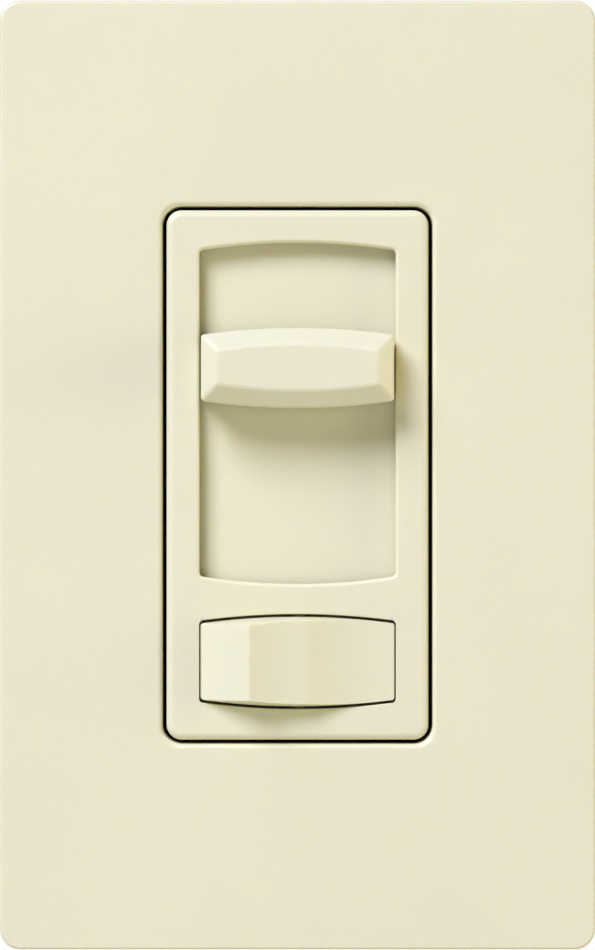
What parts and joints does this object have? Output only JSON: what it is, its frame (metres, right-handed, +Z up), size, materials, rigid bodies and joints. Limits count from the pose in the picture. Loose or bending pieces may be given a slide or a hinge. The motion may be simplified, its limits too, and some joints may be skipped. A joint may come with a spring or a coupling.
{
  "type": "slide dimmer wall switch",
  "caption": "Wall dimmer with a bevelled slide knob in an arched recess, a faceted on/off rocker below it and a plain screwless wallplate.",
  "frame": {"origin": "centre of the wall plane: where the strap's ears and the wallplate's rim rest on the wall", "axes": "+X to the right seen from the room, +Y into the wall, +Z up; the knob and rocker stand at -Y"},
  "size_m": [0.0746, 0.0443, 0.119],
  "materials": {
    "ivory_plastic": "satin moulded",
    "adapter_plastic": "satin moulded",
    "black_plastic": "satin moulded",
    "white_nylon": "moulded nylon",
    "strap_aluminium": "brushed sheet",
    "zinc_plated_steel": "zinc plated",
    "brass": "stamped",
    "green_steel": "green finish",
    "board_laminate": "glass-fibre laminate",
    "ferrite": "pressed ferrite",
    "enamelled_copper": "enamelled wire",
    "capacitor_shell": "moulded shell",
    "resistor_shell": "coated",
    "carbon_track": "printed carbon",
    "insulating_pad": "silicone"
  },
  "bodies": {
    "device": {"wallplate_cover": "ivory_plastic", "wallplate_adapter": "adapter_plastic", "adapter_screw_top": "zinc_plated_steel", "adapter_screw_bottom": "zinc_plated_steel", "mounting_strap": "strap_aluminium", "mounting_screw_top": "zinc_plated_steel", "mounting_screw_bottom": "zinc_plated_steel", "ground_screw": "green_steel", "bezel": "ivory_plastic", "slide_floor": "ivory_plastic", "pot_case": "zinc_plated_steel", "pot_track": "carbon_track", "contact_cradle": "brass", "fixed_contact": "brass", "switch_base": "black_plastic", "circuit_board": "board_laminate", "triac": "black_plastic", "triac_pad": "insulating_pad", "triac_rivet": "zinc_plated_steel", "choke_core": "ferrite", "choke_winding": "enamelled_copper", "film_capacitor": "capacitor_shell", "resistor": "resistor_shell", "back_housing": "black_plastic", "housing_screw_1": "zinc_plated_steel", "housing_screw_2": "zinc_plated_steel", "housing_screw_3": "zinc_plated_steel", "housing_screw_4": "zinc_plated_steel", "terminal_plate_line": "brass", "terminal_plate_load": "brass", "terminal_screw_line": "brass", "terminal_screw_load": "brass"},
    "slider": {"slider_knob": "ivory_plastic", "slider_carrier": "white_nylon", "slider_bridge": "white_nylon", "pot_wiper": "black_plastic"},
    "rocker": {"rocker_button": "ivory_plastic", "plunger": "white_nylon", "plunger_spring": "zinc_plated_steel"},
    "seesaw": {"contact_seesaw": "brass"}
  },
  "joints": [
    {"name": "slide_travel", "type": "slide", "parent": "device", "child": "slider", "axis": [0, 0, 1], "range_m": [-0.0215, 0.0103]},
    {"name": "rocker_pivot", "type": "hinge", "parent": "device", "child": "rocker", "pos_m": [0, -0.0049, -0.0234], "axis": [0, 0, 1], "range_deg": [-10, 0]},
    {"name": "seesaw_pivot", "type": "hinge", "parent": "device", "child": "seesaw", "pos_m": [0, 0.008, -0.0234], "axis": [0, 0, 1], "range_deg": [0, 10]}
  ],
  "couplings": [
    {"joint": "seesaw_pivot", "follows": "rocker_pivot", "ratio": -1}
  ]
}
